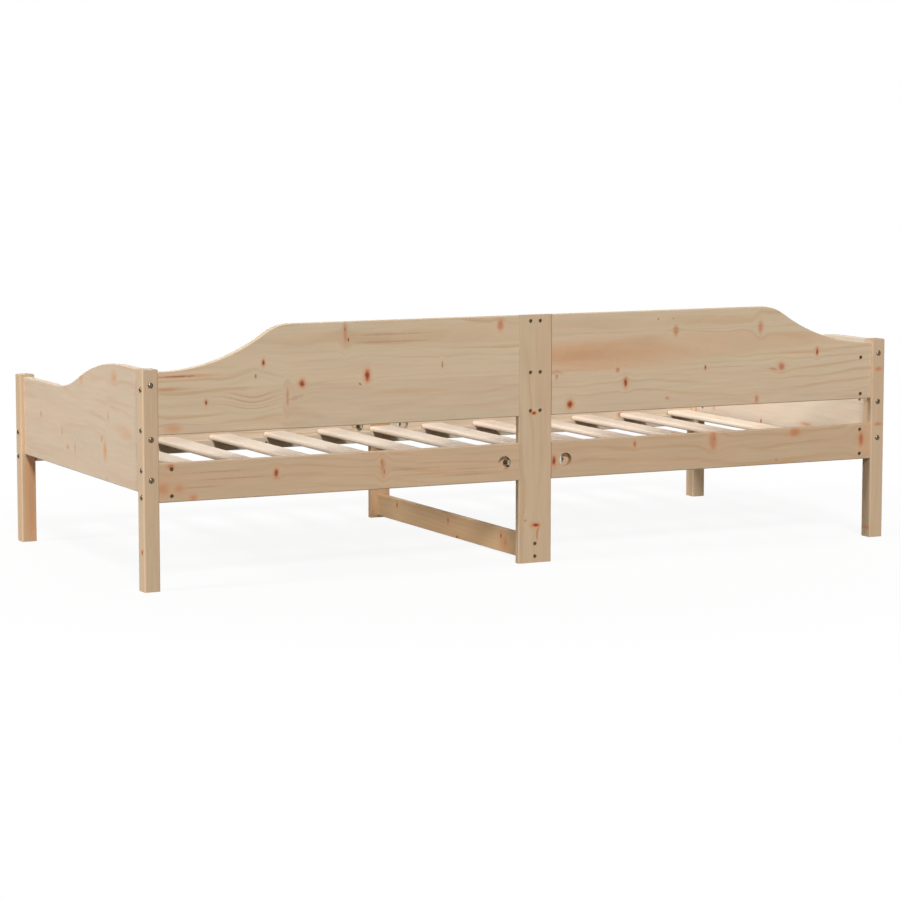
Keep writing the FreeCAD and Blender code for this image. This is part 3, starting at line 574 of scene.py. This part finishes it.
def slotted(mesh, cuts):
    """The mesh with boxes, each (low corner, high corner), cut out of it."""
    piece = bpy.data.objects.new("blank", mesh)
    bpy.context.collection.objects.link(piece)
    tools = []
    for low, high in cuts:
        shape = bmesh.new()
        bmesh.ops.create_cube(shape, size=1.0)
        size = Vector(high) - Vector(low)
        shape.transform(Matrix.Translation((Vector(high) + Vector(low)) / 2) @ Matrix.Diagonal((*size, 1.0)))
        tool = bpy.data.objects.new("cut", finished(shape))
        bpy.context.collection.objects.link(tool)
        tools.append(tool)
        cut = piece.modifiers.new("cut", "BOOLEAN")
        cut.object = tool
        cut.solver = "EXACT"
    bpy.context.view_layer.update()
    made = bpy.data.meshes.new_from_object(piece.evaluated_get(bpy.context.evaluated_depsgraph_get()))
    for spare in [piece, *tools]:
        bpy.data.objects.remove(spare)
    return made


def stand(place, direction):
    """The matrix that turns +X to a direction and moves the origin to a place, from millimetres to metres."""
    turn = Vector((1, 0, 0)).rotation_difference(direction).to_matrix().to_4x4()
    return Matrix.Scale(MM, 4) @ Matrix.Translation(place) @ turn


def put_in_stead(node, mesh, material):
    """A smooth-shaded piece that stands for a CAD node."""
    for face in mesh.polygons:
        face.use_smooth = True
    mesh.set_sharp_from_angle(angle=SHARP_ANGLE)
    mesh.materials.append(material)
    mesh.name = "fine_" + node
    piece = bpy.data.objects.new("fine_" + node, mesh)
    bpy.context.collection.objects.link(piece)
    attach(piece, "root")
    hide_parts(node)


def scatter(node, mesh, places, material):
    """One piece made of copies of a mesh, in the stead of a CAD node of fasteners."""
    shape = bmesh.new()
    for place, direction in places:
        copy = mesh.copy()
        copy.transform(stand(place, direction))
        shape.from_mesh(copy)
        bpy.data.meshes.remove(copy)
    made = bpy.data.meshes.new("blank")
    shape.to_mesh(made)
    shape.free()
    put_in_stead(node, made, material)


def make_slat(low, high, radius, bevel):
    """A slat along Y in the box between two corners, in millimetres, with round edges and bevelled ends."""
    corner_steps = 7
    corners = ((high.x - radius, high.z - radius), (low.x + radius, high.z - radius),
               (low.x + radius, low.z + radius), (high.x - radius, low.z + radius))
    section = []
    for corner, (x, z) in enumerate(corners):
        for step in range(corner_steps):
            turn = math.pi / 2 * (corner + step / (corner_steps - 1))
            section.append((x, z, math.cos(turn), math.sin(turn)))
    shape = bmesh.new()
    rings = []
    for y, inset in ((low.y, bevel), (low.y + bevel, 0.0), (high.y - bevel, 0.0), (high.y, bevel)):
        reach = radius - inset
        rings.append([shape.verts.new(Vector((x + reach * across, y, z + reach * up)) * MM)
                      for x, z, across, up in section])
    shape.faces.new(rings[0])
    shape.faces.new(rings[-1])
    for one, two in zip(rings, rings[1:]):
        for step in range(len(section)):
            follow = (step + 1) % len(section)
            shape.faces.new((one[step], one[follow], two[follow], two[step]))
    return finished(shape)


def make_bolt(length):
    """A furniture bolt: a domed head with a hexagon socket, and a plain shank."""
    dome, rim, mouth = 10.1, 7.0, 3.2
    head, bevel = 2.8, 0.2
    shank, tip, tip_bevel = 3.0, 2.4, 1.2
    key, key_depth = 2.7, 2.2
    dome_steps = 8
    radii = [rim + (mouth - rim) * step / dome_steps for step in range(dome_steps + 1)]
    level = math.sqrt(dome ** 2 - mouth ** 2)
    profile = [(length, 0), (length, tip), (length - tip_bevel, shank), (head, shank), (head, rim - bevel),
               (head - bevel, rim)]
    profile += [(level - math.sqrt(dome ** 2 - radius ** 2), radius) for radius in radii]
    socket = len(profile)
    profile += [(bevel, key), (key_depth, key), (key_depth + bevel, 0)]
    return lathe(profile, FINE_SIDES, hexagon=(socket, socket + 1))


def make_barrel_nut(length):
    """A bevelled cylinder with a slot across its outer end."""
    radius, bevel = 4.8, 0.5
    slot_reach, slot_half, slot_depth = 6.0, 0.8, 1.6
    body = lathe([(length, 0), (length, radius - bevel), (length - bevel, radius), (bevel, radius),
                  (0.0, radius - bevel), (0.0, 0)], FINE_SIDES)
    return slotted(body, [((CUT_START, -slot_reach, -slot_half), (slot_depth, slot_reach, slot_half))])


def make_screw(length, radius, head, head_height, point, slot_half):
    """A countersunk screw with a cross in its head."""
    edge, bevel = 0.4, 0.2
    tip = radius * 0.4
    arm = head * 0.45
    depth = head_height * 0.7
    body = lathe([(length, 0), (length, tip), (length - point, radius), (head_height, radius),
                  (edge, head), (0.0, head - bevel), (0.0, 0)], SCREW_SIDES)
    return slotted(body, [((CUT_START, -arm, -slot_half), (depth, arm, slot_half)),
                          ((CUT_START, -slot_half, -arm), (depth, slot_half, arm))])


def make_tie_rod(length):
    """A rod with a thread at both ends."""
    crest, root, tip = 3.0, 2.55, 2.2
    pitch, turns, lead, run_out = 1.0, 24, 0.4, 1.0
    thread = [(0.0, 0), (0.0, tip)]
    for turn in range(turns):
        thread += [(lead + turn * pitch, crest), (lead + (turn + 0.5) * pitch, root)]
    thread.append((turns * pitch + run_out, crest))
    far_end = [(length - along, radius) for along, radius in reversed(thread)]
    return lathe(thread + far_end, ROD_SIDES)


def make_rod_nut(height):
    """A six-sided nut with its ends turned round."""
    flat, end, bevel = 5.0, 4.6, 0.5
    profile = [(height, 0), (height, end), (height - bevel, flat), (bevel, flat), (0.0, end), (0.0, 0)]
    return lathe(profile, FINE_SIDES, hexagon=(2, 3))


def make_half_moon(thickness, chord, width):
    """A slice of a disc: its flat face at the origin, and its round back at +X."""
    radius = (chord ** 2 / 4 + thickness ** 2) / (2 * thickness)
    half = math.asin(chord / 2 / radius)
    steps = 24
    shape = bmesh.new()
    outline = []
    for step in range(steps + 1):
        turn = half * (2 * step / steps - 1)
        outline.append(shape.verts.new((radius * math.cos(turn) - radius + thickness, -width / 2,
                                        radius * math.sin(turn))))
    face = shape.faces.new(outline)
    pushed = bmesh.ops.extrude_face_region(shape, geom=[face])["geom"]
    corners = [part for part in pushed if isinstance(part, bmesh.types.BMVert)]
    bmesh.ops.translate(shape, vec=(0, width, 0), verts=corners)
    return finished(shape)


SLAT_ROUND, SLAT_END_BEVEL = 6.0, 0.8
for node in [name for name in nodes if name.startswith("slat_")]:
    low, high = solids(node)[0]
    put_in_stead(node, make_slat(low, high, SLAT_ROUND, SLAT_END_BEVEL), slat_pine)
for node, axis in (("end_panel_bolts", Y), ("rear_rail_bolts", X), ("front_rail_bolts", X),
                   ("back_panel_bolts", X)):
    scatter(node, make_bolt(length_along(node, axis)), fasteners(node, axis), zinc)
for node, axis, inward in (("end_panel_barrel_nuts", X, lambda middle: True),
                           ("rear_rail_barrel_nuts", Y, lambda middle: False),
                           ("front_rail_barrel_nuts", Y, lambda middle: True),
                           ("back_panel_barrel_nuts", Y, lambda middle: middle.x > 0),
                           ("middle_leg_barrel_nuts", Y, lambda middle: False)):
    scatter(node, make_barrel_nut(length_along(node, axis)), fasteners(node, axis, inward), nut_steel)
stretcher_screw = make_screw(length_along("stretcher_screws", Y), radius=3.5, head=5.0, head_height=3.0,
                             point=4.0, slot_half=0.6)
scatter("stretcher_screws", stretcher_screw, fasteners("stretcher_screws", Y), zinc)
ledger_screw = make_screw(length_along("ledger_screws", Y), radius=1.9, head=3.9, head_height=2.5,
                          point=4.0, slot_half=0.45)
scatter("ledger_screws", ledger_screw, fasteners("ledger_screws", Y, lambda middle: True), zinc)
for node in ("rear_tie_rod", "front_tie_rod"):
    scatter(node, make_tie_rod(length_along(node, X)), fasteners(node, X), zinc)
rod_nut = make_rod_nut(length_along("tie_rod_nuts", X))
scatter("tie_rod_nuts", rod_nut, fasteners("tie_rod_nuts", X), zinc)
half_moon = make_half_moon(*[length_along("half_moon_washers", axis) for axis in (X, Z, Y)])
scatter("half_moon_washers", half_moon, fasteners("half_moon_washers", X), pale_zinc)
dress("hanger_bolts", zinc)


# Floor, light and camera

FLOOR_HALF = 60.0
FLOOR_PALE = (0.9, 0.9, 0.9, 1.0)
FLOOR_BOUNCE = (0.12, 0.10, 0.08, 1.0)
# How far from the middle the floor's shadow starts to fade and is gone, and the share of white over it
SHADOW_NEAR, SHADOW_FAR = 0.9, 2.0
SHADOW_LIGHTEN = 0.90
WHITE = (1.0, 1.0, 1.0, 1.0)
WARM_WHITE = (1.0, 0.92, 0.84, 1.0)
AMBIENT = 0.10
WHITE_LIGHT = (1.0, 1.0, 1.0)
CREAM_LIGHT = (1.0, 0.99, 0.96)
WARM_LIGHT = (1.0, 0.98, 0.94)


def make_floor_white():
    """A pale floor that looks white, has a light shadow near the object, and throws little light back."""
    material, t = new_material("floor_white")[:2]
    material.node_tree.nodes.clear()
    away = t.vector("LENGTH", t.add("ShaderNodeTexCoord").outputs["Object"])
    lighten = t.ramp(away, SHADOW_NEAR, SHADOW_FAR, low=SHADOW_LIGHTEN)
    bright = t.add("ShaderNodeEmission", {"Color": WHITE, "Strength": 1.0}).outputs[0]
    shaded = t.add("ShaderNodeBsdfDiffuse", {"Color": FLOOR_PALE}).outputs[0]
    white = t.add("ShaderNodeMixShader", {0: lighten, 1: shaded, 2: bright}).outputs[0]
    dim = t.add("ShaderNodeBsdfDiffuse", {"Color": FLOOR_BOUNCE}).outputs[0]
    shader = t.add("ShaderNodeMixShader", {0: t.seen(), 1: dim, 2: white}).outputs[0]
    t.add("ShaderNodeOutputMaterial", {"Surface": shader})
    return material


def make_floor():
    shape = bmesh.new()
    bmesh.ops.create_grid(shape, x_segments=1, y_segments=1, size=FLOOR_HALF)
    mesh = finished(shape)
    mesh.materials.append(make_floor_white())
    floor = bpy.data.objects.new("floor", mesh)
    bpy.context.collection.objects.link(floor)


def make_world():
    """White where it is seen, and a faint warm light everywhere else."""
    world = bpy.data.worlds.new("studio")
    bpy.context.scene.world = world
    world.use_nodes = True
    world.node_tree.nodes.clear()
    t = Tree(world.node_tree)
    sky = t.add("ShaderNodeBackground", {"Color": WARM_WHITE, "Strength": AMBIENT}).outputs[0]
    white = t.add("ShaderNodeBackground", {"Color": WHITE, "Strength": 1.0}).outputs[0]
    shader = t.add("ShaderNodeMixShader", {0: t.seen(), 1: sky, 2: white}).outputs[0]
    t.add("ShaderNodeOutputWorld", {"Surface": shader})


def distant_light(name, toward, level, spread, colour):
    """A far light, as wide as its spread in degrees: a white face turned to it renders at the level."""
    light = bpy.data.lights.new(name, "SUN")
    light.energy = level * math.pi
    light.angle = math.radians(spread)
    light.color = colour
    lamp = bpy.data.objects.new(name, light)
    lamp.rotation_mode = "QUATERNION"
    lamp.rotation_quaternion = (-Vector(toward)).to_track_quat("-Z", "Y")
    bpy.context.collection.objects.link(lamp)


make_floor()
make_world()
distant_light("left_light", (0.86, 0.0, 0.51), level=0.50, spread=12.0, colour=WHITE_LIGHT)
distant_light("left_low_light", (0.99, -0.06, 0.14), level=0.22, spread=6.0, colour=WHITE_LIGHT)
distant_light("rear_light", (0.24, 0.77, 0.59), level=0.67, spread=10.0, colour=WHITE_LIGHT)
distant_light("rear_low_light", (0.25, 0.96, 0.035), level=0.18, spread=5.0, colour=CREAM_LIGHT)
distant_light("top_light", (0.10, 0.20, 0.97), level=0.05, spread=25.0, colour=WHITE_LIGHT)
distant_light("front_light", (-0.15, -0.98, 0.12), level=0.55, spread=30.0, colour=WARM_LIGHT)
distant_light("right_light", (-0.95, -0.30, 0.08), level=0.52, spread=20.0, colour=WARM_LIGHT)

# The camera: its place and sight in metres, its lens and sensor in millimetres
CAMERA_PLACE = (3.486437, 7.051523, 1.157064)
CAMERA_TURN = math.radians(26.27668)
CAMERA_TILT = math.radians(6.68732)
LENS, SENSOR = 120.1774, 36.0
SIGHT = 200.0
lens = bpy.data.cameras.new("camera")
lens.sensor_width = SENSOR
lens.lens = LENS
lens.clip_end = SIGHT
camera = bpy.data.objects.new("camera", lens)
camera.location = CAMERA_PLACE
look = Vector((-math.sin(CAMERA_TURN) * math.cos(CAMERA_TILT), -math.cos(CAMERA_TURN) * math.cos(CAMERA_TILT),
               -math.sin(CAMERA_TILT)))
camera.rotation_mode = "QUATERNION"
camera.rotation_quaternion = look.to_track_quat("-Z", "Y")
bpy.context.collection.objects.link(camera)
bpy.context.scene.camera = camera
bpy.context.scene.view_settings.view_transform = "Standard"

bpy.context.view_layer.update()
